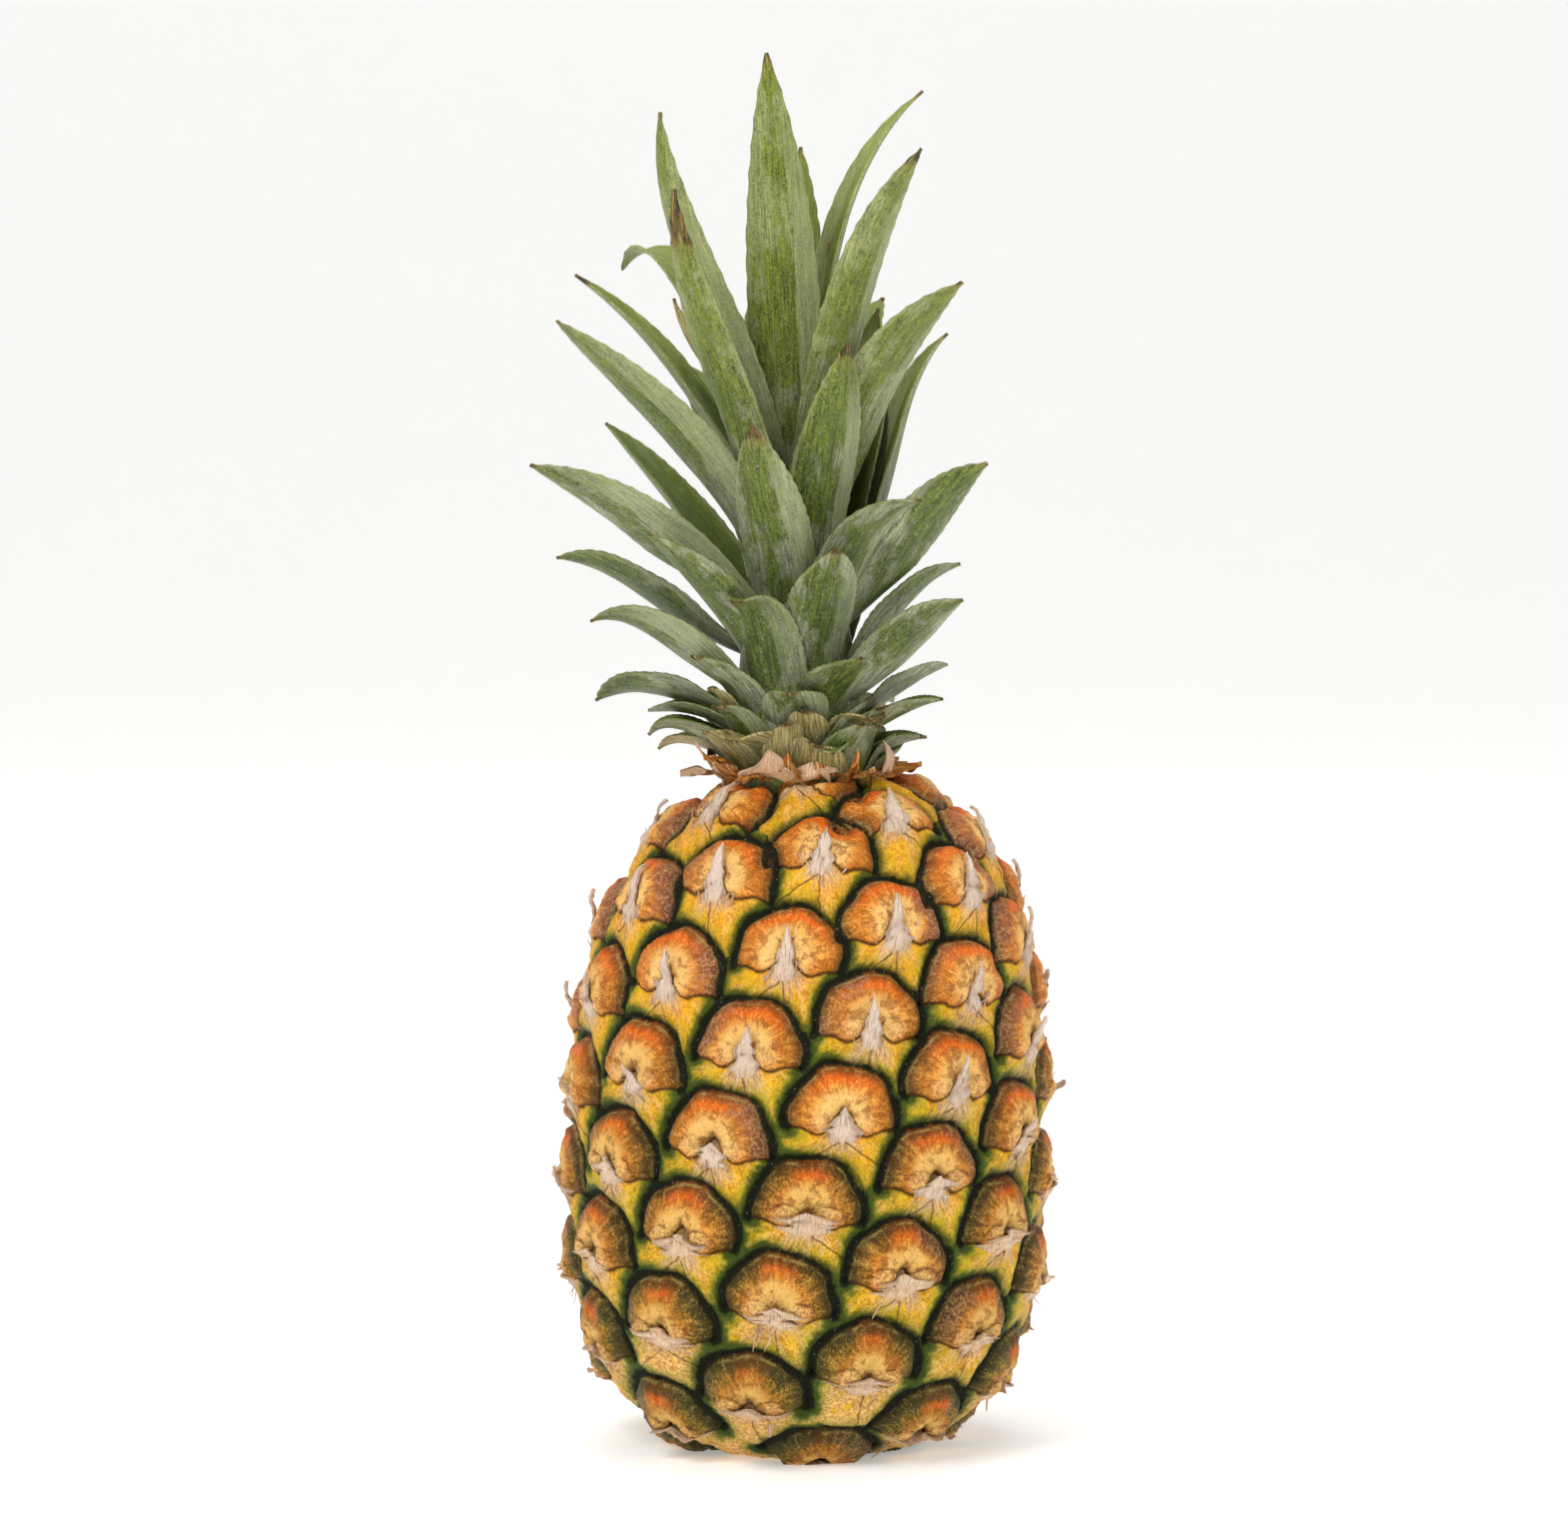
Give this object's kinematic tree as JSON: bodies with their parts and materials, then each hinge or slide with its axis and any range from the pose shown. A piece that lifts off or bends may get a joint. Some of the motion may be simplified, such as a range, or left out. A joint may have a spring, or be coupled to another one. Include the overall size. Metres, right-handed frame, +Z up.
{
  "type": "pineapple",
  "caption": "Whole upright pineapple: a barrel-shaped fruit covered with hexagonal eyes and papery bracts, under a leafy crown.",
  "frame": {"origin": "middle of the flat spot the fruit stands on", "axes": "+Z up from the fruit's base to the crown's tip, -Y the front, +X to the right seen from the front"},
  "size_m": [0.126, 0.1212, 0.334],
  "materials": {
    "rind": "waxy rind: orange and yellow eyes in dark green grooves, with papery tan bracts",
    "leaf": "tough grey-green leaf with a silvery bloom and dry brown tips",
    "stalk": "dry, fibrous, pale cut face"
  },
  "bodies": {
    "root": {"fruit": "rind", "crown": "leaf", "cut_stalk": "stalk"}
  },
  "joints": []
}
